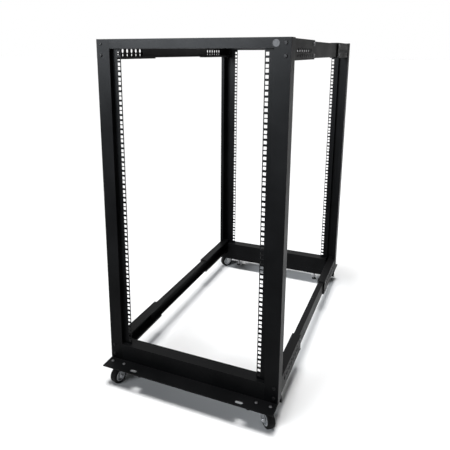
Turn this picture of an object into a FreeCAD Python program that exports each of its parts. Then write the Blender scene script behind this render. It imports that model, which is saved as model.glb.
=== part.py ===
import FreeCAD, Part
import math
import os

import Sketcher

# Four-post open-frame equipment rack, 22 units tall, with telescopic side rails,
# four swivel casters and four screw-down levelling feet.
#
# Frame of the model: millimetres, +Z up, floor at Z = 0, the front faces -Y and
# +X is to the right seen from the front. The origin is on the floor, midway
# between the left and right sides and midway between the front and the rear.
#
# The rear end frame is the front end frame turned half a turn about Z, so every
# end-frame piece is drawn once in "end coordinates": x to the right seen from
# outside, y inwards from the outer face, z up from the floor.

os.makedirs("parts", exist_ok=True)
doc = FreeCAD.newDocument("rack")

# --------------------------------------------------------------------------
# Driving dimensions, in millimetres and degrees
# --------------------------------------------------------------------------

DIMENSIONS = [
    # 19-inch equipment practice
    ("unit_height", 44.45),
    ("unit_count", 22),
    ("rail_opening", 450.8),
    ("hole_spacing", 465.1),
    ("square_hole", 9.5),
    ("first_hole", 6.35),
    ("hole_step", 15.875),
    # whole rack
    ("rack_width", 600),
    ("mount_depth", 1016),
    ("depth_travel", 442),
    ("opening_height", 993),
    ("metal", 2),
    # posts
    ("face_width", 45),
    ("flange_recess", 15),
    ("post_depth", 40),
    ("lip_width", 12),
    # beams
    ("top_beam_height", 28),
    ("top_beam_lip", 18),
    ("base_height", 62),
    ("base_depth", 45),
    ("beam_tab", 10),
    ("beam_tab_lap", 15),
    # base plates
    ("plate_metal", 3),
    ("plate_reach", 54),
    ("plate_lip", 22),
    ("slot_place", 188),
    ("slot_reach", 38),
    ("slot_width", 13),
    ("slot_length", 26),
    # outer rails
    ("rail_metal", 2.5),
    ("rail_height", 58),
    ("rail_depth", 31),
    ("rail_lip", 7),
    ("rail_end", 300),
    ("rail_lift", 8),
    ("vent_count", 7),
    ("vent_start", 82),
    ("vent_step", 27),
    ("vent_large", 14),
    ("vent_small", 9),
    ("vent_large_offset", 3),
    ("vent_small_offset", 16.5),
    # middle rails
    ("middle_height", 51),
    ("middle_depth", 21),
    ("middle_length", 538),
    ("middle_gap", 3.5),
    ("clamp_place", 284),
    ("clamp_rise", 17),
    ("clamp_gap", 0.2),
    ("insert_size", 9),
    ("insert_depth", 3),
    # fasteners
    ("bolt_size", 6),
    ("bolt_clearance", 0.3),
    ("head_size", 10),
    ("head_height", 3),
    ("nut_flats", 10),
    ("nut_height", 5),
    ("washer_size", 12),
    ("washer_metal", 1),
    ("corner_bolt_inset", 14),
    # badge
    ("badge_size", 19),
    ("badge_metal", 1.5),
    ("badge_place", 260),
    ("badge_drop", 15),
    # casters
    ("caster_height", 76),
    ("caster_place", 260),
    ("caster_inset", 3),
    ("caster_plate", 60),
    ("caster_metal", 2.5),
    ("caster_bolts", 45),
    ("race_size", 42),
    ("race_height", 3),
    ("fork_ring", 38),
    ("fork_ring_height", 2.2),
    ("fork_top", 68),
    ("fork_bridge", 3),
    ("fork_width", 34),
    ("fork_metal", 2.5),
    ("fork_half_top", 17),
    ("running_gap", 0.3),
    ("king_pin", 10),
    ("king_head", 16),
    ("king_head_height", 3.5),
    ("bore_clearance", 0.05),
    ("caster_trail", 19),
    ("wheel_size", 57),
    ("tyre_width", 24),
    ("tyre_round", 4),
    ("core_size", 38),
    ("hub_size", 14),
    ("hub_width", 28),
    ("core_web", 12),
    ("axle_size", 8),
    ("axle_flats", 12),
    ("axle_head", 4),
    # levelling feet
    ("foot_place", 200),
    ("foot_inset", 22),
    ("foot_lift", 16),
    ("stud_size", 8),
    ("stud_top", 116),
    ("stud_hex", 13),
    ("stud_hex_height", 6),
    ("stud_neck", 4),
    ("foot_nut_height", 6.5),
    ("pad_size", 20),
    ("pad_rim", 3),
    ("pad_neck", 12),
    ("pad_height", 9),
    ("stud_clearance", 0.5),
]

# Where each caster points when the rack stands as it was last rolled: the angle
# of its trailing side about Z, in degrees.
CASTER_ANGLES = {
    "front_left": -104,
    "front_right": -45,
    "rear_left": -130,
    "rear_right": -110,
}

dims = doc.addObject("Spreadsheet::Sheet", "dims")
for row, (alias, number) in enumerate(DIMENSIONS, start=1):
    dims.set("A%d" % row, alias)
    dims.set("B%d" % row, str(number))
    dims.setAlias("B%d" % row, alias)
doc.recompute()

# Expressions that several pieces share
HALF_WIDTH = "dims.rack_width / 2"
HALF_OPENING = "dims.rail_opening / 2"
HALF_DEPTH = "(dims.mount_depth / 2 + dims.flange_recess)"
FACE_EDGE = "(dims.rack_width / 2 - dims.face_width)"
FLANGE_BACK = "(dims.flange_recess + dims.metal)"
PLATE_TOP = "(dims.caster_height + dims.plate_metal)"
BASE_TOP = "(dims.caster_height + dims.base_height)"
BEAM_BOTTOM = "(dims.caster_height + dims.base_height + dims.opening_height)"
RACK_TOP = "(dims.caster_height + dims.base_height + dims.opening_height + dims.top_beam_height)"
UNIT_BOTTOM = (
    "(dims.caster_height + dims.base_height"
    " + (dims.opening_height - dims.unit_count * dims.unit_height) / 2)"
)
RAIL_OUTSIDE = "(dims.rack_width / 2 - dims.metal)"
RAIL_CENTRE = {
    "bottom": "(dims.caster_height + dims.rail_lift + dims.rail_height / 2)",
    "top": "(%s - dims.metal - dims.rail_height / 2)" % RACK_TOP,
}
SIDES = {"left": -1, "right": 1}
ENDS = {"front": 1, "rear": -1}


def amount(expression):
    """The number that an expression of the sheet's cells stands for."""
    result = dims.evalExpression(expression)
    return float(getattr(result, "Value", result))


def world_side(end, sign):
    """The side of the rack on which the end coordinate sign * x lies."""
    return "right" if sign * ENDS[end] > 0 else "left"


# --------------------------------------------------------------------------
# Sketch and feature helpers
# --------------------------------------------------------------------------

def new_body(label):
    body = doc.addObject("PartDesign::Body", label)
    body.Label = label
    return body


def new_sketch(body, name, plane, offset=None):
    """A sketch on one of the body's origin planes, moved along its normal."""
    sketch = body.newObject("Sketcher::SketchObject", name)
    origin_planes = {feature.Role: feature for feature in body.Origin.OriginFeatures}
    sketch.AttachmentSupport = [(origin_planes[plane], "")]
    sketch.MapMode = "FlatFace"
    if offset is not None:
        sketch.setExpression("AttachmentOffset.Base.z", offset)
    return sketch


def bind(sketch, kind, geometry, point, expression):
    """Holds one coordinate of a sketch point at an expression's value."""
    number = amount(expression)
    if abs(number) < 1e-9:
        axis = -2 if kind == "DistanceX" else -1
        sketch.addConstraint(Sketcher.Constraint("PointOnObject", geometry, point, axis))
        return
    index = sketch.addConstraint(Sketcher.Constraint(kind, -1, 1, geometry, point, number))
    sketch.setExpression("Constraints[%d]" % index, expression)


def add_polygon(sketch, points):
    """A closed outline whose corners sit at (expression, expression) pairs."""
    corners = [FreeCAD.Vector(amount(x), amount(y), 0) for x, y in points]
    first = sketch.GeometryCount
    for index, corner in enumerate(corners):
        following = corners[(index + 1) % len(corners)]
        sketch.addGeometry(Part.LineSegment(corner, following), False)
    for index, (x, y) in enumerate(points):
        following = first + (index + 1) % len(points)
        sketch.addConstraint(Sketcher.Constraint("Coincident", first + index, 2, following, 1))
        bind(sketch, "DistanceX", first + index, 1, x)
        bind(sketch, "DistanceY", first + index, 1, y)


def add_rectangle(sketch, left, right, low, high):
    add_polygon(sketch, [(left, low), (right, low), (right, high), (left, high)])


def add_circle(sketch, x, y, diameter):
    centre = FreeCAD.Vector(amount(x), amount(y), 0)
    radius = amount("%s / 2" % diameter)
    circle = Part.Circle(centre, FreeCAD.Vector(0, 0, 1), radius)
    index = sketch.addGeometry(circle, False)
    bind(sketch, "DistanceX", index, 3, x)
    bind(sketch, "DistanceY", index, 3, y)
    held = sketch.addConstraint(Sketcher.Constraint("Radius", index, radius))
    sketch.setExpression("Constraints[%d]" % held, "%s / 2" % diameter)


def pad(body, sketch, length, reverse=False, both_ways=False):
    """Extrudes a sketch: up to length, or half of it each way."""
    feature = body.newObject("PartDesign::Pad", sketch.Name + "_pad")
    feature.Profile = sketch
    feature.setExpression("Length", length)
    feature.Reversed = reverse
    feature.Midplane = both_ways
    body.Tip = feature
    doc.recompute()
    return feature


def cut_through(body, sketch):
    """Cuts a sketch through everything on both sides of its plane."""
    before = body.Shape.Volume
    feature = body.newObject("PartDesign::Pocket", sketch.Name + "_cut")
    feature.Profile = sketch
    feature.Type = "ThroughAll"
    feature.Midplane = True
    body.Tip = feature
    doc.recompute()
    if body.Shape.Volume > before - 1e-3:
        raise RuntimeError("%s cuts nothing from %s" % (sketch.Name, body.Label))
    return feature


def cut_depth(body, sketch, depth, reverse=False):
    """Cuts a sketch to a depth, against its normal or along it."""
    before = body.Shape.Volume
    feature = body.newObject("PartDesign::Pocket", sketch.Name + "_cut")
    feature.Profile = sketch
    feature.setExpression("Length", depth)
    feature.Reversed = reverse
    body.Tip = feature
    doc.recompute()
    if body.Shape.Volume > before - 1e-3:
        raise RuntimeError("%s cuts nothing from %s" % (sketch.Name, body.Label))
    return feature


def repeat(body, feature, sketch, axis, length, count):
    """Repeats a feature in a line along one of its sketch's axes."""
    pattern = body.newObject("PartDesign::LinearPattern", feature.Name + "_row")
    pattern.Originals = [feature]
    pattern.Direction = (sketch, [axis])
    pattern.setExpression("Length", length)
    pattern.setExpression("Occurrences", count)
    body.Tip = pattern
    doc.recompute()
    return pattern


def revolve(body, sketch, axis):
    feature = body.newObject("PartDesign::Revolution", sketch.Name + "_turned")
    feature.Profile = sketch
    feature.ReferenceAxis = (sketch, [axis])
    feature.Angle = 360
    body.Tip = feature
    doc.recompute()
    return feature


def mirrored(points, sign):
    """The same outline on the other side of x = 0 when sign is -1."""
    return [("%d * (%s)" % (sign, x), y) for x, y in points]


parts = []


def keep(obj):
    parts.append(obj)
    return obj


def place_at_end(obj, end):
    """Moves a piece drawn in end coordinates to the front or the rear."""
    turn = 0 if end == "front" else 180
    obj.Placement = FreeCAD.Placement(
        FreeCAD.Vector(0, -ENDS[end] * amount(HALF_DEPTH), 0),
        FreeCAD.Rotation(FreeCAD.Vector(0, 0, 1), turn),
    )
    obj.setExpression("Placement.Base.y", "%d * %s" % (-ENDS[end], HALF_DEPTH))
    return keep(obj)


# --------------------------------------------------------------------------
# End frames: posts, beams and base plates
# --------------------------------------------------------------------------

def make_post(end, sign):
    """A folded post: a face and a side wall, and a stepped-back flange of square holes."""
    body = new_body("%s_%s_post" % (end, world_side(end, sign)))

    wall = new_sketch(body, body.Name + "_wall", "XY_Plane", PLATE_TOP)
    add_polygon(wall, mirrored([
        (FACE_EDGE, "0"),
        (HALF_WIDTH, "0"),
        (HALF_WIDTH, "dims.post_depth"),
        (RAIL_OUTSIDE, "dims.post_depth"),
        (RAIL_OUTSIDE, "dims.metal"),
        (FACE_EDGE, "dims.metal"),
    ], sign))
    pad(body, wall, "%s - %s" % (RACK_TOP, PLATE_TOP))

    flange = new_sketch(body, body.Name + "_flange", "XY_Plane", BASE_TOP)
    add_polygon(flange, mirrored([
        (FACE_EDGE, "dims.metal"),
        ("%s + dims.metal" % FACE_EDGE, "dims.metal"),
        ("%s + dims.metal" % FACE_EDGE, FLANGE_BACK),
        (HALF_OPENING, FLANGE_BACK),
        (HALF_OPENING, "dims.flange_recess"),
        (FACE_EDGE, "dims.flange_recess"),
    ], sign))
    pad(body, flange, "dims.opening_height")

    lip_low = "%s + dims.rail_height / 2 + dims.metal" % RAIL_CENTRE["bottom"]
    lip_high = "%s - dims.rail_height / 2 - dims.metal" % RAIL_CENTRE["top"]
    lip = new_sketch(body, body.Name + "_lip", "XY_Plane", lip_low)
    add_polygon(lip, mirrored([
        ("%s - dims.lip_width" % RAIL_OUTSIDE, "dims.post_depth - dims.metal"),
        (RAIL_OUTSIDE, "dims.post_depth - dims.metal"),
        (RAIL_OUTSIDE, "dims.post_depth"),
        ("%s - dims.lip_width" % RAIL_OUTSIDE, "dims.post_depth"),
    ], sign))
    pad(body, lip, "(%s) - (%s)" % (lip_high, lip_low))

    holes = new_sketch(body, body.Name + "_holes", "XZ_Plane")
    middle = "%d * dims.hole_spacing / 2" % sign
    for step in range(3):
        centre = "%s + dims.first_hole + %d * dims.hole_step" % (UNIT_BOTTOM, step)
        add_rectangle(
            holes,
            "%s - dims.square_hole / 2" % middle,
            "%s + dims.square_hole / 2" % middle,
            "%s - dims.square_hole / 2" % centre,
            "%s + dims.square_hole / 2" % centre,
        )
    unit = cut_through(body, holes)
    repeat(
        body, unit, holes, "V_Axis",
        "(dims.unit_count - 1) * dims.unit_height", "dims.unit_count",
    )

    bolts = new_sketch(body, body.Name + "_bolts", "XZ_Plane")
    for level in RAIL_CENTRE.values():
        for rise in ("-", "+"):
            add_circle(
                bolts,
                "%d * (%s - dims.corner_bolt_inset)" % (sign, HALF_WIDTH),
                "%s %s dims.clamp_rise" % (level, rise),
                "(dims.bolt_size + 2 * dims.bolt_clearance)",
            )
    cut_through(body, bolts)
    return place_at_end(body, end)


def add_beam_tabs(body, low, high):
    """Tabs behind the post faces, spot-welded to them, at both ends of a beam."""
    tabs = new_sketch(body, body.Name + "_tabs", "XZ_Plane", "-dims.metal")
    for sign in (-1, 1):
        add_polygon(tabs, mirrored([
            ("%s - dims.beam_tab_lap" % FACE_EDGE, low),
            ("%s + dims.beam_tab" % FACE_EDGE, low),
            ("%s + dims.beam_tab" % FACE_EDGE, high),
            ("%s - dims.beam_tab_lap" % FACE_EDGE, high),
        ], sign))
    pad(body, tabs, "dims.metal", reverse=True)


def make_top_beam(end):
    """A channel with its open side down and two lips, between the post faces."""
    body = new_body("%s_top_beam" % end)
    depth = "dims.post_depth"
    inner_top = "%s - dims.metal" % RACK_TOP
    inner_low = "%s + dims.metal" % BEAM_BOTTOM
    section = new_sketch(body, body.Name + "_section", "YZ_Plane")
    add_polygon(section, [
        ("0", BEAM_BOTTOM),
        ("0", RACK_TOP),
        (depth, RACK_TOP),
        (depth, BEAM_BOTTOM),
        ("%s - dims.top_beam_lip / 2" % depth, BEAM_BOTTOM),
        ("%s - dims.top_beam_lip / 2" % depth, inner_low),
        ("%s - dims.metal" % depth, inner_low),
        ("%s - dims.metal" % depth, inner_top),
        ("dims.metal", inner_top),
        ("dims.metal", inner_low),
        ("dims.top_beam_lip", inner_low),
        ("dims.top_beam_lip", BEAM_BOTTOM),
    ])
    pad(body, section, "2 * %s" % FACE_EDGE, both_ways=True)
    add_beam_tabs(body, inner_low, inner_top)
    return place_at_end(body, end)


def make_base_beam(end):
    """A channel with its open side down, standing on the base plate."""
    body = new_body("%s_base_beam" % end)
    depth = "dims.base_depth"
    inner_top = "%s - dims.metal" % BASE_TOP
    section = new_sketch(body, body.Name + "_section", "YZ_Plane")
    add_polygon(section, [
        ("0", PLATE_TOP),
        ("0", BASE_TOP),
        (depth, BASE_TOP),
        (depth, PLATE_TOP),
        ("%s - dims.metal" % depth, PLATE_TOP),
        ("%s - dims.metal" % depth, inner_top),
        ("dims.metal", inner_top),
        ("dims.metal", PLATE_TOP),
    ])
    pad(body, section, "2 * %s" % FACE_EDGE, both_ways=True)
    add_beam_tabs(body, "%s + dims.metal" % PLATE_TOP, inner_top)
    return place_at_end(body, end)


def caster_bolt_places():
    """End coordinates of the eight caster bolts, as expressions."""
    for sign in (-1, 1):
        for across in (-1, 1):
            for along in (-1, 1):
                x = "%d * dims.caster_place + %d * dims.caster_bolts / 2" % (sign, across)
                y = "dims.caster_inset + %d * dims.caster_bolts / 2" % along
                yield x, y


def make_base_plate(end):
    """The flat foot of an end frame: it carries the posts, the casters and the feet."""
    body = new_body("%s_base_plate" % end)
    outline = new_sketch(body, body.Name + "_outline", "XY_Plane", "dims.caster_height")
    add_rectangle(
        outline, "-%s" % HALF_WIDTH, HALF_WIDTH, "-dims.plate_reach", "dims.base_depth",
    )
    pad(body, outline, "dims.plate_metal")
    lip = new_sketch(body, body.Name + "_lip", "XY_Plane", "dims.caster_height")
    add_rectangle(
        lip, "-%s" % HALF_WIDTH, HALF_WIDTH,
        "dims.base_depth - dims.plate_metal", "dims.base_depth",
    )
    pad(body, lip, "dims.plate_lip", reverse=True)

    holes = new_sketch(body, body.Name + "_holes", "XY_Plane")
    for x, y in caster_bolt_places():
        add_circle(holes, x, y, "(dims.bolt_size + 2 * dims.bolt_clearance)")
    for sign in (-1, 1):
        stud_hole = "(dims.stud_size + 2 * dims.stud_clearance)"
        add_circle(holes, "%d * dims.foot_place" % sign, "dims.foot_inset", stud_hole)
    cut_through(body, holes)

    straight = "(dims.slot_length - dims.slot_width) / 2"
    slots = new_sketch(body, body.Name + "_slots", "XY_Plane")
    for sign in (-1, 1):
        place = "%d * dims.slot_place" % sign
        add_rectangle(
            slots,
            "%s - %s" % (place, straight),
            "%s + %s" % (place, straight),
            "-dims.slot_reach - dims.slot_width / 2",
            "-dims.slot_reach + dims.slot_width / 2",
        )
    cut_through(body, slots)
    ends = new_sketch(body, body.Name + "_slot_ends", "XY_Plane")
    for sign in (-1, 1):
        for way in ("-", "+"):
            place = "%d * dims.slot_place %s %s" % (sign, way, straight)
            add_circle(ends, place, "-dims.slot_reach", "dims.slot_width")
    cut_through(body, ends)
    return place_at_end(body, end)


# --------------------------------------------------------------------------
# Telescopic side rails
# --------------------------------------------------------------------------

def make_outer_rail(end, sign, level):
    """A lipped channel, web outwards, bolted to a post's face through its end tab."""
    body = new_body("%s_rail_%s_%s" % (end, level, world_side(end, sign)))
    centre = RAIL_CENTRE[level]
    top = "%s + dims.rail_height / 2" % centre
    low = "%s - dims.rail_height / 2" % centre
    inside = "%s - dims.rail_depth" % RAIL_OUTSIDE

    section = new_sketch(body, body.Name + "_section", "XZ_Plane", "-dims.metal")
    add_polygon(section, mirrored([
        (RAIL_OUTSIDE, low),
        (RAIL_OUTSIDE, top),
        (inside, top),
        (inside, "%s - dims.rail_lip" % top),
        ("%s + dims.rail_metal" % inside, "%s - dims.rail_lip" % top),
        ("%s + dims.rail_metal" % inside, "%s - dims.rail_metal" % top),
        ("%s - dims.rail_metal" % RAIL_OUTSIDE, "%s - dims.rail_metal" % top),
        ("%s - dims.rail_metal" % RAIL_OUTSIDE, "%s + dims.rail_metal" % low),
        ("%s + dims.rail_metal" % inside, "%s + dims.rail_metal" % low),
        ("%s + dims.rail_metal" % inside, "%s + dims.rail_lip" % low),
        (inside, "%s + dims.rail_lip" % low),
        (inside, low),
    ], sign))
    pad(body, section, "dims.rail_end - dims.metal", reverse=True)

    tab = new_sketch(body, body.Name + "_tab", "XZ_Plane", "-dims.metal")
    add_polygon(tab, mirrored([
        (RAIL_OUTSIDE, low),
        (RAIL_OUTSIDE, top),
        (inside, top),
        (inside, low),
    ], sign))
    pad(body, tab, "dims.rail_metal", reverse=True)

    bolts = new_sketch(body, body.Name + "_bolts", "XZ_Plane")
    for rise in ("-", "+"):
        add_circle(
            bolts,
            "%d * (%s - dims.corner_bolt_inset)" % (sign, HALF_WIDTH),
            "%s %s dims.clamp_rise" % (centre, rise),
            "(dims.bolt_size + 2 * dims.bolt_clearance)",
        )
    cut_through(body, bolts)

    clamps = new_sketch(body, body.Name + "_clamps", "YZ_Plane")
    for rise in ("-", "+"):
        add_circle(
            clamps,
            "dims.clamp_place",
            "%s %s dims.clamp_rise" % (centre, rise),
            "dims.insert_size",
        )
    cut_through(body, clamps)

    # The bottom rails are top rails turned over, so their small vents are uppermost.
    rise = "+" if level == "bottom" else "-"
    vents = new_sketch(body, body.Name + "_vents", "YZ_Plane")
    for size in ("large", "small"):
        height = "%s %s dims.vent_%s_offset" % (centre, rise, size)
        add_circle(vents, "dims.vent_start", height, "dims.vent_%s" % size)
    vent = cut_through(body, vents)
    repeat(
        body, vent, vents, "H_Axis",
        "(dims.vent_count - 1) * dims.vent_step", "dims.vent_count",
    )
    return place_at_end(body, end)


def make_middle_rail(side, level):
    """A plain channel whose two ends slide in a front and a rear outer rail."""
    sign = SIDES[side]
    body = new_body("middle_rail_%s_%s" % (level, side))
    centre = RAIL_CENTRE[level]
    outside = "(%s - dims.rail_metal - dims.middle_gap)" % RAIL_OUTSIDE
    inside = "(%s - dims.middle_depth)" % outside
    top = "%s + dims.middle_height / 2" % centre
    low = "%s - dims.middle_height / 2" % centre

    section = new_sketch(body, body.Name + "_section", "XZ_Plane")
    add_polygon(section, mirrored([
        (outside, low),
        (outside, top),
        (inside, top),
        (inside, "%s - dims.metal" % top),
        ("%s - dims.metal" % outside, "%s - dims.metal" % top),
        ("%s - dims.metal" % outside, "%s + dims.metal" % low),
        (inside, "%s + dims.metal" % low),
        (inside, low),
    ], sign))
    pad(body, section, "dims.middle_length", both_ways=True)
    return keep(body)


# --------------------------------------------------------------------------
# Fasteners: each group is one piece of several separate solids
# --------------------------------------------------------------------------

def cylinder(diameter, length, start):
    """A cylinder along +Z that begins at height start."""
    return Part.makeCylinder(diameter / 2, length, FreeCAD.Vector(0, 0, start))


def hexagon(flats, height, start):
    """A hexagonal prism along +Z with two of its flats facing +Y and -Y."""
    radius = flats / math.sqrt(3)
    corners = []
    for index in range(7):
        angle = math.radians(60 * index)
        corners.append(FreeCAD.Vector(radius * math.cos(angle), radius * math.sin(angle), start))
    face = Part.Face(Part.makePolygon(corners))
    return face.extrude(FreeCAD.Vector(0, 0, height))


def button_bolt(grip, tail):
    """A low round-headed bolt with a hexagon socket: head above z = 0, shank below."""
    head = cylinder(amount("dims.head_size"), amount("dims.head_height"), 0)
    rim = [edge for edge in head.Edges if edge.BoundBox.ZMin > amount("dims.head_height") - 0.01]
    head = head.makeFillet(amount("dims.head_height") * 0.6, rim[:1])
    shank = cylinder(amount("dims.bolt_size"), grip + tail, -grip - tail)
    socket_size = amount("dims.bolt_size") * 2 / 3
    socket_depth = amount("dims.head_height") * 0.6
    socket = hexagon(socket_size, socket_depth, amount("dims.head_height") - socket_depth)
    return head.fuse(shank).cut(socket).removeSplitter()


def bolt_nut(start):
    """A hexagon nut whose bolt runs through it, between start and start + its height."""
    nut = hexagon(amount("dims.nut_flats"), amount("dims.nut_height"), start)
    return nut.cut(cylinder(amount("dims.bolt_size"), amount("dims.nut_height"), start))


def group(label, solids):
    feature = doc.addObject("Part::Feature", label)
    feature.Label = label
    feature.Shape = Part.makeCompound(solids)
    return feature


def turned(shape, axis, angle, place):
    """A copy of a shape turned about an axis through the origin, then moved."""
    copy = shape.copy()
    copy.Placement = FreeCAD.Placement(place, FreeCAD.Rotation(axis, angle))
    return copy


def make_frame_bolts(end):
    """Bolts that hold the outer rails' end tabs behind the post faces."""
    grip = amount("dims.metal + dims.rail_metal")
    nut_height = amount("dims.nut_height")
    bolt = button_bolt(grip, nut_height + 1)
    nut = bolt_nut(-grip - nut_height)
    solids = []
    outwards = FreeCAD.Vector(1, 0, 0)
    for sign in (-1, 1):
        x = sign * amount("%s - dims.corner_bolt_inset" % HALF_WIDTH)
        for level in RAIL_CENTRE.values():
            for rise in (-1, 1):
                z = amount(level) + rise * amount("dims.clamp_rise")
                place = FreeCAD.Vector(x, 0, z)
                solids.append(turned(bolt, outwards, 90, place))
                solids.append(turned(nut, outwards, 90, place))
    return place_at_end(group("%s_frame_bolts" % end, solids), end)


def make_clamp_bolts(end):
    """Threaded inserts in the outer rails' webs, and bolts whose tips press on the middle rails."""
    flange = amount("dims.washer_metal")
    depth = amount("dims.rail_metal + dims.insert_depth")
    reach = amount("dims.washer_metal + dims.rail_metal + dims.middle_gap - dims.clamp_gap")
    bolt = button_bolt(reach, 0)
    insert = cylinder(amount("dims.washer_size"), flange, -flange)
    insert = insert.fuse(cylinder(amount("dims.insert_size"), depth, -flange - depth))
    insert = insert.cut(cylinder(amount("dims.bolt_size"), flange + depth, -flange - depth))
    solids = []
    for sign in (-1, 1):
        x = sign * (amount(RAIL_OUTSIDE) + flange)
        for level in RAIL_CENTRE.values():
            for rise in (-1, 1):
                z = amount(level) + rise * amount("dims.clamp_rise")
                place = FreeCAD.Vector(x, amount("dims.clamp_place"), z)
                for piece in (bolt, insert):
                    solids.append(turned(piece, FreeCAD.Vector(0, 1, 0), 90 * sign, place))
    return place_at_end(group("%s_clamp_bolts" % end, solids), end)


def make_caster_bolts(end):
    """Bolts down through the base plate and the caster plates, with nuts below."""
    grip = amount("dims.plate_metal + dims.caster_metal")
    nut_height = amount("dims.nut_height")
    bolt = button_bolt(grip, nut_height + 1)
    nut = bolt_nut(-grip - nut_height)
    solids = []
    for x, y in caster_bolt_places():
        place = FreeCAD.Vector(amount(x), amount(y), amount(PLATE_TOP))
        solids.append(turned(bolt, FreeCAD.Vector(0, 0, 1), 0, place))
        solids.append(turned(nut, FreeCAD.Vector(0, 0, 1), 0, place))
    return place_at_end(group("%s_caster_bolts" % end, solids), end)


def make_foot_nuts(end):
    """Weld nuts on the base plate in which the levelling studs turn."""
    height = amount("dims.foot_nut_height")
    bore = amount("dims.stud_size + 2 * dims.bore_clearance")
    nut = hexagon(amount("dims.stud_hex"), height, 0).cut(cylinder(bore, height, 0))
    solids = []
    for sign in (-1, 1):
        place = FreeCAD.Vector(
            sign * amount("dims.foot_place"), amount("dims.foot_inset"), amount(PLATE_TOP),
        )
        solids.append(turned(nut, FreeCAD.Vector(0, 0, 1), 0, place))
    return place_at_end(group("%s_foot_nuts" % end, solids), end)


def make_badge():
    """A plain round badge with one raised ring, at the front's top right corner."""
    body = new_body("front_badge")
    height = "%s - dims.badge_drop" % RACK_TOP
    disc = new_sketch(body, "badge_disc", "XZ_Plane")
    add_circle(disc, "dims.badge_place", height, "dims.badge_size")
    pad(body, disc, "dims.badge_metal")
    dish = new_sketch(body, "badge_dish", "XZ_Plane", "dims.badge_metal")
    add_circle(dish, "dims.badge_place", height, "dims.badge_size * 0.8")
    add_circle(dish, "dims.badge_place", height, "dims.badge_size * 0.45")
    cut_depth(body, dish, "dims.badge_metal / 3")
    return place_at_end(body, "front")


# --------------------------------------------------------------------------
# Casters
# --------------------------------------------------------------------------

def caster_axis(end, sign):
    """The swivel axis's place on the floor, in the rack's own frame."""
    x = sign * ENDS[end] * amount("dims.caster_place")
    y = -ENDS[end] * (amount(HALF_DEPTH) - amount("dims.caster_inset"))
    return FreeCAD.Vector(x, y, 0)


def place_caster_piece(obj, end, sign, angle, height="0"):
    place = caster_axis(end, sign) + FreeCAD.Vector(0, 0, amount(height))
    obj.Placement = FreeCAD.Placement(
        place, FreeCAD.Rotation(FreeCAD.Vector(0, 0, 1), angle),
    )
    inset = "%d * (%s - dims.caster_inset)" % (-ENDS[end], HALF_DEPTH)
    obj.setExpression("Placement.Base.x", "%d * dims.caster_place" % (sign * ENDS[end]))
    obj.setExpression("Placement.Base.y", inset)
    return keep(obj)


def make_caster_plate(corner, end, sign):
    """The fixed plate with its ball race and the king pin on which the fork turns."""
    body = new_body("%s_caster_plate" % corner)
    half = "dims.caster_plate / 2"
    plate = new_sketch(body, body.Name + "_outline", "XY_Plane", "dims.caster_height")
    add_rectangle(plate, "-%s" % half, half, "-%s" % half, half)
    pad(body, plate, "dims.caster_metal", reverse=True)
    holes = new_sketch(body, body.Name + "_holes", "XY_Plane")
    for across in (-1, 1):
        for along in (-1, 1):
            add_circle(
                holes,
                "%d * dims.caster_bolts / 2" % across,
                "%d * dims.caster_bolts / 2" % along,
                "(dims.bolt_size + 2 * dims.bolt_clearance)",
            )
    cut_through(body, holes)
    race_top = "dims.caster_height - dims.caster_metal"
    race = new_sketch(body, body.Name + "_race", "XY_Plane", race_top)
    add_circle(race, "0", "0", "dims.race_size")
    pad(body, race, "dims.race_height", reverse=True)
    pin = new_sketch(body, body.Name + "_pin", "XY_Plane", race_top)
    add_circle(pin, "0", "0", "dims.king_pin")
    bridge_low = "(dims.fork_top - dims.fork_bridge)"
    pad(body, pin, "%s - %s + dims.running_gap" % (race_top, bridge_low), reverse=True)
    head = new_sketch(body, body.Name + "_head", "XY_Plane", "%s - dims.running_gap" % bridge_low)
    add_circle(head, "0", "0", "dims.king_head")
    pad(body, head, "dims.king_head_height", reverse=True)
    return place_caster_piece(body, end, sign, 0)


def make_caster_fork(corner, end, sign):
    """A folded fork: two legs down to the axle, and a bridge that turns on the king pin."""
    body = new_body("%s_caster_fork" % corner)
    axle_height = "dims.wheel_size / 2"
    trail = "dims.caster_trail"
    eye = "dims.axle_size"
    legs = new_sketch(body, body.Name + "_legs", "XZ_Plane")
    add_polygon(legs, [
        ("-dims.fork_half_top", "dims.fork_top"),
        ("dims.fork_half_top", "dims.fork_top"),
        ("%s + %s" % (trail, eye), "%s + %s / 2" % (axle_height, eye)),
        ("%s + %s" % (trail, eye), "%s - %s / 2" % (axle_height, eye)),
        ("%s + %s / 2" % (trail, eye), "%s - %s" % (axle_height, eye)),
        ("%s - %s / 2" % (trail, eye), "%s - %s" % (axle_height, eye)),
        ("%s - %s" % (trail, eye), "%s - %s / 2" % (axle_height, eye)),
        ("-dims.fork_half_top", "dims.fork_top - 3 * dims.fork_bridge"),
    ])
    pad(body, legs, "dims.fork_width", both_ways=True)
    gap = new_sketch(body, body.Name + "_gap", "YZ_Plane")
    inner = "(dims.fork_width / 2 - dims.fork_metal)"
    add_rectangle(gap, "-%s" % inner, inner, "0", "dims.fork_top - dims.fork_bridge")
    cut_through(body, gap)
    axle_hole = new_sketch(body, body.Name + "_axle_hole", "XZ_Plane")
    add_circle(axle_hole, trail, axle_height, "dims.axle_size")
    cut_through(body, axle_hole)
    ring = new_sketch(body, body.Name + "_ring", "XY_Plane", "dims.fork_top")
    add_circle(ring, "0", "0", "dims.fork_ring")
    pad(body, ring, "dims.fork_ring_height")
    bore = new_sketch(body, body.Name + "_bore", "XY_Plane")
    add_circle(bore, "0", "0", "(dims.king_pin + 2 * dims.bore_clearance)")
    cut_through(body, bore)
    return place_caster_piece(body, end, sign, CASTER_ANGLES[corner])


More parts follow.
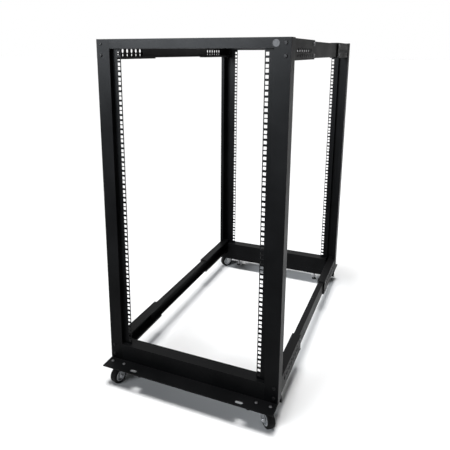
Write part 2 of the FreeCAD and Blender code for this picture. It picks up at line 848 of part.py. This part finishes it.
def make_axle(corner, end, sign):
    """A bolt across the fork with a hexagon head, and its nut on the far leg."""
    half = amount("dims.fork_width / 2")
    flats = amount("dims.axle_flats")
    head = amount("dims.axle_head")
    shank = cylinder(amount("dims.axle_size"), 2 * half + 2 * head + 1, -half - head)
    bolt = shank.fuse([hexagon(flats, head, half), hexagon(flats, head, -half - head)])
    bolt = bolt.removeSplitter()
    bolt.rotate(FreeCAD.Vector(), FreeCAD.Vector(1, 0, 0), 90)
    bolt.translate(FreeCAD.Vector(amount("dims.caster_trail"), 0, amount("dims.wheel_size / 2")))
    feature = group("%s_caster_axle" % corner, bolt.Solids)
    return place_caster_piece(feature, end, sign, CASTER_ANGLES[corner])


def ring_section(sketch, inner, outer, half_width):
    add_rectangle(sketch, inner, outer, "-%s" % half_width, half_width)


def place_wheel_piece(obj, corner, end, sign):
    """Lays a piece turned about Z along the axle: its Z becomes the axle's line."""
    angle = CASTER_ANGLES[corner]
    heading = FreeCAD.Rotation(FreeCAD.Vector(0, 0, 1), angle)
    lying = FreeCAD.Rotation(FreeCAD.Vector(1, 0, 0), 90)
    centre = heading.multVec(
        FreeCAD.Vector(amount("dims.caster_trail"), 0, amount("dims.wheel_size / 2"))
    )
    obj.Placement = FreeCAD.Placement(caster_axis(end, sign) + centre, heading * lying)
    return keep(obj)


def make_wheel_core(corner, end, sign):
    """A dished wheel centre with a long hub that runs on the axle."""
    body = new_body("%s_wheel_core" % corner)
    bore = "(dims.axle_size / 2 + dims.bore_clearance)"
    hub = "dims.hub_size / 2"
    rim = "dims.core_size / 2"
    rim_metal = "(dims.core_size / 2 - 3)"
    half_hub = "dims.hub_width / 2"
    half_web = "dims.core_web / 2"
    half_rim = "dims.tyre_width / 2"
    section = new_sketch(body, body.Name + "_section", "XZ_Plane")
    add_polygon(section, [
        (bore, "-%s" % half_hub),
        (hub, "-%s" % half_hub),
        (hub, "-%s" % half_web),
        (rim_metal, "-%s" % half_web),
        (rim_metal, "-%s" % half_rim),
        (rim, "-%s" % half_rim),
        (rim, half_rim),
        (rim_metal, half_rim),
        (rim_metal, half_web),
        (hub, half_web),
        (hub, half_hub),
        (bore, half_hub),
    ])
    revolve(body, section, "V_Axis")
    return place_wheel_piece(body, corner, end, sign)


def make_tyre(corner, end, sign):
    """A soft tread around the wheel core, with its two outer edges rounded."""
    body = new_body("%s_tyre" % corner)
    section = new_sketch(body, body.Name + "_section", "XZ_Plane")
    ring_section(section, "dims.core_size / 2", "dims.wheel_size / 2", "dims.tyre_width / 2")
    turned_tyre = revolve(body, section, "V_Axis")
    outer = []
    for index, edge in enumerate(turned_tyre.Shape.Edges, start=1):
        round_edge = hasattr(edge.Curve, "Radius") and len(edge.Vertexes) == 1
        if round_edge and abs(edge.Curve.Radius - amount("dims.wheel_size / 2")) < 0.01:
            outer.append("Edge%d" % index)
    fillet = body.newObject("PartDesign::Fillet", body.Name + "_round")
    fillet.Base = (turned_tyre, outer)
    fillet.setExpression("Radius", "dims.tyre_round")
    body.Tip = fillet
    doc.recompute()
    return place_wheel_piece(body, corner, end, sign)


# --------------------------------------------------------------------------
# Levelling feet
# --------------------------------------------------------------------------

def place_foot_piece(obj, end, sign):
    x = sign * ENDS[end] * amount("dims.foot_place")
    y = -ENDS[end] * (amount(HALF_DEPTH) - amount("dims.foot_inset"))
    obj.Placement = FreeCAD.Placement(FreeCAD.Vector(x, y, 0), FreeCAD.Rotation())
    inset = "%d * (%s - dims.foot_inset)" % (-ENDS[end], HALF_DEPTH)
    obj.setExpression("Placement.Base.x", "%d * dims.foot_place" % (sign * ENDS[end]))
    obj.setExpression("Placement.Base.y", inset)
    return keep(obj)


def make_foot_stud(corner, end, sign):
    """A threaded stud with a hexagon to turn it by, standing on its pad."""
    body = new_body("%s_foot_stud" % corner)
    pad_top = "(dims.foot_lift + dims.pad_height)"
    rod = new_sketch(body, body.Name + "_rod", "XY_Plane", pad_top)
    add_circle(rod, "0", "0", "dims.stud_size")
    pad(body, rod, "dims.stud_top - %s" % pad_top)
    flats = new_sketch(body, body.Name + "_flats", "XY_Plane", "%s + dims.stud_neck" % pad_top)
    corner_radius = "dims.stud_hex / sqrt(3)"
    points = []
    for index in range(6):
        angle = "%d deg" % (60 * index)
        points.append((
            "%s * cos(%s)" % (corner_radius, angle),
            "%s * sin(%s)" % (corner_radius, angle),
        ))
    add_polygon(flats, points)
    pad(body, flats, "dims.stud_hex_height")
    return place_foot_piece(body, end, sign)


def make_foot_pad(corner, end, sign):
    """A small conical pad; the stud turns in it while it stays still on the floor."""
    body = new_body("%s_foot_pad" % corner)
    section = new_sketch(body, body.Name + "_section", "XZ_Plane")
    add_polygon(section, [
        ("0", "dims.foot_lift"),
        ("dims.pad_size / 2", "dims.foot_lift"),
        ("dims.pad_size / 2", "dims.foot_lift + dims.pad_rim"),
        ("dims.pad_neck / 2", "dims.foot_lift + dims.pad_height"),
        ("0", "dims.foot_lift + dims.pad_height"),
    ])
    revolve(body, section, "V_Axis")
    return place_foot_piece(body, end, sign)


# --------------------------------------------------------------------------
# The whole rack
# --------------------------------------------------------------------------

for end in ENDS:
    make_top_beam(end)
    make_base_beam(end)
    make_base_plate(end)
    make_frame_bolts(end)
    make_clamp_bolts(end)
    make_caster_bolts(end)
    make_foot_nuts(end)
    for sign in (-1, 1):
        make_post(end, sign)
        make_outer_rail(end, sign, "top")
        make_outer_rail(end, sign, "bottom")
        corner = "%s_%s" % (end, world_side(end, sign))
        make_caster_plate(corner, end, sign)
        make_caster_fork(corner, end, sign)
        make_axle(corner, end, sign)
        make_wheel_core(corner, end, sign)
        make_tyre(corner, end, sign)
        make_foot_stud(corner, end, sign)
        make_foot_pad(corner, end, sign)
make_badge()
for side in SIDES:
    for level in RAIL_CENTRE:
        make_middle_rail(side, level)

doc.recompute()

for obj in doc.Objects:
    if "Invalid" in obj.State or "Error" in obj.State:
        raise RuntimeError("%s did not compute: %s" % (obj.Label, obj.State))
for obj in parts:
    if obj.Shape.isNull() or not obj.Shape.isValid():
        raise RuntimeError("%s has no valid shape" % obj.Label)
for obj in parts:
    obj.Shape.exportStep("parts/%s.step" % obj.Label)
print("%d parts written" % len(parts))
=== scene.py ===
import math

import bpy
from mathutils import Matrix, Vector

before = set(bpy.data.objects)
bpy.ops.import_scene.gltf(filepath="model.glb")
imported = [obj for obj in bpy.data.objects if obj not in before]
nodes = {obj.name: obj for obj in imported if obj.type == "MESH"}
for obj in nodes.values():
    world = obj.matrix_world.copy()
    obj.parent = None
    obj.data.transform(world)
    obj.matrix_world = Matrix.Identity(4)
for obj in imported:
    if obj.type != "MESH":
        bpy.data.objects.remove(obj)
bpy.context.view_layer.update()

# Sizes and places are in metres and angles in degrees. The rack stands on the floor at
# z = 0, and its front faces -Y.
scene = bpy.context.scene


# --------------------------------------------------------------------------
# Camera: in front of the rack's right corner, nearly as high as its top beam.
# --------------------------------------------------------------------------

CAMERA_PLACE = (0.618, -1.780, 1.120)
CAMERA_YAW = 23.69  # turned left
CAMERA_PITCH = 13.15  # tilted down
CAMERA_LENS = 39.05  # in millimetres, like the sensor
SENSOR_WIDTH = 36
CAMERA_SHIFT = (0.039, -0.130)  # as parts of the picture's width

camera_data = bpy.data.cameras.new("camera")
camera_data.sensor_width = SENSOR_WIDTH
camera_data.lens = CAMERA_LENS
camera_data.shift_x, camera_data.shift_y = CAMERA_SHIFT
camera = bpy.data.objects.new("camera", camera_data)
camera.location = CAMERA_PLACE
camera.rotation_euler = (math.radians(90 - CAMERA_PITCH), 0, math.radians(CAMERA_YAW))
scene.collection.objects.link(camera)
scene.camera = camera


# --------------------------------------------------------------------------
# Materials
# --------------------------------------------------------------------------

class Paint:
    """A node material being built: the Principled shader and short ways to add to it."""

    def __init__(self, name, color, roughness, metallic=0.0):
        self.material = bpy.data.materials.new(name)
        self.material.use_nodes = True
        self.material.diffuse_color = (*color, 1)
        self.tree = self.material.node_tree
        self.shader = self.tree.nodes["Principled BSDF"]
        self.shader.inputs["Base Color"].default_value = (*color, 1)
        self.shader.inputs["Roughness"].default_value = roughness
        self.shader.inputs["Metallic"].default_value = metallic
        self.place = self.tree.nodes.new("ShaderNodeTexCoord").outputs["Object"]
        self.normal = None

    def set(self, **values):
        """Values for the shader's own sockets, with _ for a space in their names."""
        for name, value in values.items():
            self.shader.inputs[name.replace("_", " ")].default_value = value
        return self

    def link(self, source, target):
        self.tree.links.new(source, target)

    def stretched(self, scale):
        """Object coordinates scaled by a different amount along each axis."""
        mapping = self.tree.nodes.new("ShaderNodeMapping")
        mapping.inputs["Scale"].default_value = scale
        self.link(self.place, mapping.inputs["Vector"])
        return mapping.outputs["Vector"]

    def noise(self, scale, detail=3, roughness=0.5, place=None):
        node = self.tree.nodes.new("ShaderNodeTexNoise")
        node.inputs["Scale"].default_value = scale
        node.inputs["Detail"].default_value = detail
        node.inputs["Roughness"].default_value = roughness
        self.link(place or self.place, node.inputs["Vector"])
        return node.outputs["Fac"]

    def ramp(self, value, low, high, from_low=0.3, from_high=0.7):
        """Goes from low to high while the value goes from from_low to from_high."""
        node = self.tree.nodes.new("ShaderNodeMapRange")
        node.inputs["From Min"].default_value = from_low
        node.inputs["From Max"].default_value = from_high
        node.inputs["To Min"].default_value = low
        node.inputs["To Max"].default_value = high
        self.link(value, node.inputs["Value"])
        return node.outputs["Result"]

    def mix(self, factor, first, second):
        """Two colours mixed: each is an RGB triple or another node's output."""
        node = self.tree.nodes.new("ShaderNodeMix")
        node.data_type = "RGBA"
        self.link(factor, node.inputs[0])
        for socket, color in ((node.inputs[6], first), (node.inputs[7], second)):
            if isinstance(color, tuple):
                socket.default_value = (*color, 1)
            else:
                self.link(color, socket)
        return node.outputs[2]

    def calculate(self, operation, first, second):
        """A sum on two values: each is a number or another node's output."""
        node = self.tree.nodes.new("ShaderNodeMath")
        node.operation = operation
        for socket, value in ((node.inputs[0], first), (node.inputs[1], second)):
            if isinstance(value, (int, float)):
                socket.default_value = value
            else:
                self.link(value, socket)
        return node.outputs[0]

    def edge(self, radius, low=0.02, high=0.25):
        """1 on sharp edges and 0 away from them; the shading rounds the edges too."""
        bevel = self.tree.nodes.new("ShaderNodeBevel")
        bevel.samples = 4
        bevel.inputs["Radius"].default_value = radius
        self.normal = bevel.outputs["Normal"]
        geometry = self.tree.nodes.new("ShaderNodeNewGeometry")
        dot = self.tree.nodes.new("ShaderNodeVectorMath")
        dot.operation = "DOT_PRODUCT"
        self.link(bevel.outputs["Normal"], dot.inputs[0])
        self.link(geometry.outputs["Normal"], dot.inputs[1])
        bent = self.calculate("SUBTRACT", 1.0, dot.outputs["Value"])
        return self.ramp(bent, 0, 1, low, high)

    def bump(self, height, distance, strength):
        """Relief as deep as distance, on top of the rounded edges where there are any."""
        node = self.tree.nodes.new("ShaderNodeBump")
        node.inputs["Distance"].default_value = distance
        node.inputs["Strength"].default_value = strength
        self.link(height, node.inputs["Height"])
        if self.normal is not None:
            self.link(self.normal, node.inputs["Normal"])
        self.normal = node.outputs["Normal"]
        self.link(self.normal, self.shader.inputs["Normal"])

    def color(self, source):
        self.link(source, self.shader.inputs["Base Color"])

    def roughness(self, source):
        self.link(source, self.shader.inputs["Roughness"])


def powder_coat(name, color, edge_wear_and_highlight, roughness, specular):
    """Fine-textured powder coat: orange peel, faint clouding, and edges painted lighter, partly
    as wear and partly as a painted highlight.
    """
    paint = Paint(name, color, roughness).set(Specular_IOR_Level=specular)
    clouds = paint.noise(scale=9, detail=4)
    grain = paint.noise(scale=900, detail=2)
    peel = paint.noise(scale=420, detail=2)
    lighter = tuple(channel * 1.5 + 0.0008 for channel in color)
    base = paint.mix(paint.ramp(clouds, 0, 1), color, lighter)
    speck = paint.ramp(grain, 0, 0.35, from_low=0.55, from_high=0.8)
    base = paint.mix(speck, base, tuple(channel * 2.4 + 0.002 for channel in color))
    patches = paint.ramp(paint.noise(scale=60, detail=4), 0.1, 0.8)
    # Edges painted lighter in patches: partly wear, partly a painted highlight.
    edge_wear_and_highlight_mask = paint.calculate("MULTIPLY", paint.edge(radius=0.0009), patches)
    paint.color(paint.mix(edge_wear_and_highlight_mask, base, edge_wear_and_highlight))
    paint.roughness(paint.ramp(clouds, roughness - 0.05, roughness + 0.07))
    paint.bump(peel, distance=0.00016, strength=0.5)
    return paint.material


def plated(name, color, roughness, tint):
    """Zinc plate: shiny metal with cloudy spangle, fine scratches, and edges painted lighter,
    partly as wear and partly as a painted highlight.
    """
    paint = Paint(name, color, roughness, metallic=0.9)
    spangle = paint.noise(scale=160)
    along = paint.stretched((1, 14, 30))
    scratches = paint.noise(scale=30, detail=4, roughness=0.6, place=along)
    # Edge colour painted lighter: partly rubbed zinc, partly a painted highlight.
    edge_rub_and_highlight = tuple(min(channel * 1.25, 0.9) for channel in color)
    base = paint.mix(paint.ramp(spangle, 0, 1), color, tint)
    paint.color(paint.mix(paint.edge(radius=0.0006), base, edge_rub_and_highlight))
    paint.roughness(paint.ramp(scratches, roughness - 0.08, roughness + 0.12))
    paint.bump(spangle, distance=0.00015, strength=0.4)
    return paint.material


WAVE_PERIOD = math.pi / 10  # a wave texture's own, at a scale of 1


def threaded(name, color, roughness, pitch):
    """A zinc-plated screw: the thread's ridges run round it, and the grooves are darkened with
    painted shade.
    """
    paint = Paint(name, color, roughness, metallic=0.9)
    wave = paint.tree.nodes.new("ShaderNodeTexWave")
    wave.bands_direction = "Z"
    wave.inputs["Scale"].default_value = WAVE_PERIOD / pitch
    paint.link(paint.place, wave.inputs["Vector"])
    ridge = wave.outputs["Fac"]
    # Painted shade: the grooves are painted a quarter as light as the ridges.
    groove_shade = tuple(channel * 0.25 for channel in color)
    paint.color(paint.mix(ridge, groove_shade, color))
    paint.roughness(paint.ramp(paint.noise(scale=200), roughness - 0.08, roughness + 0.12))
    paint.bump(ridge, distance=0.0004, strength=0.9)
    return paint.material


def rubber(name, color, dust_and_highlight):
    """Hard rubber with fine grain, dusty patches on the tread, and edges painted lighter, partly
    dusty and partly a painted highlight.
    """
    paint = Paint(name, color, 0.62).set(Specular_IOR_Level=0.08)
    grain = paint.noise(scale=700)
    patches = paint.ramp(paint.noise(scale=45, detail=4), 0, 0.6, from_low=0.45, from_high=0.75)
    # Sharp edges painted lighter in the dust colour: partly dust, partly a painted highlight.
    edge_wear_and_highlight = paint.mix(paint.edge(radius=0.0015), color, dust_and_highlight)
    paint.color(paint.mix(patches, edge_wear_and_highlight, dust_and_highlight))
    paint.roughness(paint.ramp(grain, 0.52, 0.72))
    paint.bump(grain, distance=0.00012, strength=0.5)
    return paint.material


def moulded(name, color, roughness, specular):
    """Moulded plastic: fine spark-eroded texture, slight mottling, and edges painted paler,
    partly as wear and partly as a painted highlight.
    """
    paint = Paint(name, color, roughness).set(Specular_IOR_Level=specular)
    grain = paint.noise(scale=1100, detail=2)
    mottle = paint.noise(scale=70)
    lighter = tuple(channel * 1.15 for channel in color)
    # Edge colour painted paler: partly wear, partly a painted highlight.
    pale_edge_and_highlight = tuple(min(channel * 1.4, 0.9) for channel in color)
    base = paint.mix(paint.ramp(mottle, 0, 1), color, lighter)
    paint.color(paint.mix(paint.edge(radius=0.0006), base, pale_edge_and_highlight))
    paint.roughness(paint.ramp(grain, roughness - 0.05, roughness + 0.08))
    paint.bump(grain, distance=0.0001, strength=0.4)
    return paint.material


def matt_white(name, shade, lighter):
    """Matt floor paint with clouding that hardly shows."""
    paint = Paint(name, shade, 0.7).set(Specular_IOR_Level=0.0)
    paint.color(paint.mix(paint.ramp(paint.noise(scale=3, detail=2), 0, 1), shade, lighter))
    return paint.material


# Each coat's edges are painted in its worn colour, partly as wear and partly as a painted
# highlight.
COAT = powder_coat(
    "powder_coat_black", (0.0018, 0.0019, 0.0021), edge_wear_and_highlight=(0.016, 0.016, 0.017),
    roughness=0.36, specular=0.04)
RAIL = powder_coat(
    "powder_coat_rail", (0.0026, 0.0026, 0.0028), edge_wear_and_highlight=(0.020, 0.020, 0.020),
    roughness=0.46, specular=0.055)
BASE = powder_coat(
    "powder_coat_base", (0.0022, 0.0023, 0.0025), edge_wear_and_highlight=(0.022, 0.022, 0.022),
    roughness=0.42, specular=0.045)
BLACK_BOLT = powder_coat(
    "black_bolt", (0.004, 0.004, 0.0043), edge_wear_and_highlight=(0.035, 0.035, 0.035),
    roughness=0.34, specular=0.10)
DULL_ZINC = plated("dull_zinc", (0.13, 0.13, 0.135), roughness=0.42, tint=(0.09, 0.09, 0.092))
ZINC = plated("zinc_plate", (0.50, 0.51, 0.53), roughness=0.30, tint=(0.40, 0.41, 0.42))
STUD = threaded("zinc_thread", (0.42, 0.42, 0.43), roughness=0.32, pitch=0.00125)
TYRE = rubber("tyre_rubber", (0.003, 0.003, 0.0032), dust_and_highlight=(0.011, 0.0108, 0.0105))
CORE = moulded("wheel_core_plastic", (0.34, 0.35, 0.36), roughness=0.45, specular=0.5)
PAD = moulded("foot_pad_plastic", (0.006, 0.006, 0.006), roughness=0.5, specular=0.3)
BADGE = moulded("badge_plastic", (0.055, 0.055, 0.057), roughness=0.5, specular=0.05)

# The first entry with a part of the node's name in it gives the node's material.
MATERIAL_OF = (
    ("_tyre", TYRE),
    ("_wheel_core", CORE),
    ("_foot_pad", PAD),
    ("_foot_stud", STUD),
    ("_caster_fork", ZINC),
    ("_caster_plate", ZINC),
    ("_caster_axle", ZINC),
    ("_caster_bolts", DULL_ZINC),
    ("_clamp_bolts", DULL_ZINC),
    ("_bolts", BLACK_BOLT),
    ("_nuts", BLACK_BOLT),
    ("badge", BADGE),
    ("rail", RAIL),
    ("base", BASE),
    ("", COAT),
)


def finish(node, material):
    mesh = nodes[node].data
    if not mesh.materials:
        mesh.materials.append(material)
    for slot in nodes[node].material_slots:
        slot.link = "OBJECT"
        slot.material = material


for node in nodes:
    finish(node, next(material for part, material in MATERIAL_OF if part in node))


# --------------------------------------------------------------------------
# Floor and light
# --------------------------------------------------------------------------

FLOOR_REACH = 80
WHITE = (1, 1, 1)

floor_mesh = bpy.data.meshes.new("floor")
corners = [(FLOOR_REACH * x, FLOOR_REACH * y, 0) for x, y in ((-1, -1), (1, -1), (1, 1), (-1, 1))]
floor_mesh.from_pydata(corners, [], [(0, 1, 2, 3)])
floor = bpy.data.objects.new("floor", floor_mesh)
scene.collection.objects.link(floor)
floor_mesh.materials.append(matt_white("floor_white", (0.90, 0.90, 0.90), (0.91, 0.91, 0.91)))

# A dim even studio. Gloss also sees a bright band above the horizon, and the camera sees
# the sweep behind the rack as plain white.
AMBIENT_COLOR = (0.95, 0.98, 1.0)
AMBIENT_STRENGTH = 0.03
BAND_STRENGTH = 1.3
# The band's brightness at heights from 0, the horizon, to 1, straight up.
BAND_LEVELS = ((0.0, 0.10), (0.08, 0.35), (0.25, 1.0), (0.60, 0.9), (1.0, 0.45))

world = bpy.data.worlds.new("studio")
world.use_nodes = True
sky = world.node_tree
seen = sky.nodes.new("ShaderNodeLightPath")
place = sky.nodes.new("ShaderNodeTexCoord")
parted = sky.nodes.new("ShaderNodeSeparateXYZ")
band = sky.nodes.new("ShaderNodeValToRGB")
sky.links.new(place.outputs["Generated"], parted.inputs[0])
sky.links.new(parted.outputs["Z"], band.inputs["Fac"])
steps = band.color_ramp.elements
for height, _ in BAND_LEVELS[1:-1]:
    steps.new(height)
for step, (_, level) in zip(steps, BAND_LEVELS):
    step.color = (level, level, level, 1)


def backdrop(color, strength):
    """Light from all round: the colour is an RGB triple or another node's output."""
    node = sky.nodes.new("ShaderNodeBackground")
    node.inputs["Strength"].default_value = strength
    if isinstance(color, tuple):
        node.inputs["Color"].default_value = (*color, 1)
    else:
        sky.links.new(color, node.inputs["Color"])
    return node.outputs[0]


def choose(ray, otherwise, when):
    """One backdrop for the rays of a kind and another for the rest."""
    node = sky.nodes.new("ShaderNodeMixShader")
    sky.links.new(seen.outputs[ray], node.inputs[0])
    sky.links.new(otherwise, node.inputs[1])
    sky.links.new(when, node.inputs[2])
    return node.outputs[0]


surroundings = backdrop(AMBIENT_COLOR, AMBIENT_STRENGTH)
glossy = backdrop(band.outputs["Color"], BAND_STRENGTH)
surroundings = choose("Is Glossy Ray", surroundings, glossy)
surroundings = choose("Is Camera Ray", surroundings, backdrop(WHITE, 1.0))
sky.links.new(surroundings, sky.nodes["World Output"].inputs["Surface"])
scene.world = world


def lamp(name, kind, place, aim, energy):
    data = bpy.data.lights.new(name, kind)
    data.energy = energy
    obj = bpy.data.objects.new(name, data)
    obj.location = place
    obj.rotation_euler = (Vector(aim) - Vector(place)).to_track_quat("-Z", "Y").to_euler()
    scene.collection.objects.link(obj)
    return data


# The ceiling's two soft lights, almost straight down: they make the shadow under the frame.
CEILING_LEAN = 0.26  # to each side, over a height of CEILING_HEIGHT
CEILING_FORWARD = 0.5
CEILING_HEIGHT = 4
CEILING_ENERGY = 1.80
CEILING_ANGLE = 18

for name, side in (("ceiling_left", -1), ("ceiling_right", 1)):
    over = (side * CEILING_LEAN, -CEILING_FORWARD, CEILING_HEIGHT)
    ceiling = lamp(name, "SUN", over, (0, 0, 0), CEILING_ENERGY)
    ceiling.angle = math.radians(CEILING_ANGLE)

# A softbox at the front left, which shows in the top beam and the tops of the posts.
SOFTBOX_PLACE = (-1.2, -2.8, 1.75)
SOFTBOX_AIM = (0, -0.5, 1.6)
SOFTBOX_POWER = 52
SOFTBOX_SIZE = (1.8, 1.2)
SOFTBOX_SPREAD = 62
SOFTBOX_COLOR = (0.90, 0.95, 1.0)

softbox = lamp("softbox", "AREA", SOFTBOX_PLACE, SOFTBOX_AIM, SOFTBOX_POWER)
softbox.shape = "RECTANGLE"
softbox.size, softbox.size_y = SOFTBOX_SIZE
softbox.spread = math.radians(SOFTBOX_SPREAD)
softbox.color = SOFTBOX_COLOR

scene.view_settings.view_transform = "Standard"
scene.view_settings.look = "None"
scene.view_settings.exposure = 0.0
